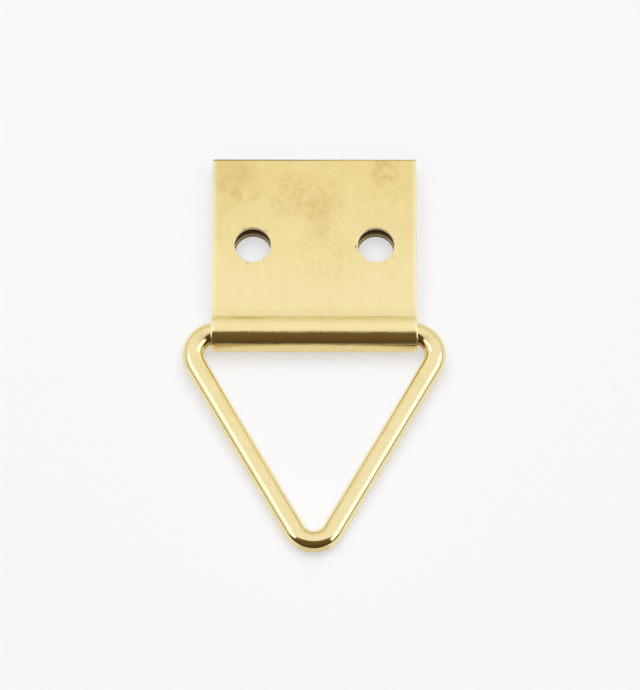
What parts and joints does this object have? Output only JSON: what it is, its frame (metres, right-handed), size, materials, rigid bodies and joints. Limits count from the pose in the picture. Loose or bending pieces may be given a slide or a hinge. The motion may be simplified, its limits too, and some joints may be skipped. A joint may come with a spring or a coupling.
{
  "type": "picture hook",
  "caption": "Brass picture hook: a sheet strap with screw holes, folded round one side of a triangular wire ring that swings in the fold.",
  "frame": {"origin": "midway between the two screw holes, on the back face that is screwed to the picture frame", "axes": "+X along the knuckle, +Y from the ring towards the strap's free end, +Z out of the front leaf, towards the screw heads"},
  "size_m": [0.0304, 0.0474, 0.0045],
  "materials": {
    "sheet_brass": "polished, with light tarnish and handling marks",
    "wire_brass": "polished"
  },
  "bodies": {
    "plate": {"hanger_plate": "sheet_brass"},
    "ring": {"triangle_ring": "wire_brass"}
  },
  "joints": [
    {"name": "ring_swing", "type": "hinge", "parent": "plate", "child": "ring", "pos_m": [0, -0.0106, 0.00225], "axis": [-1, 0, 0], "range_deg": [0, 160]}
  ]
}
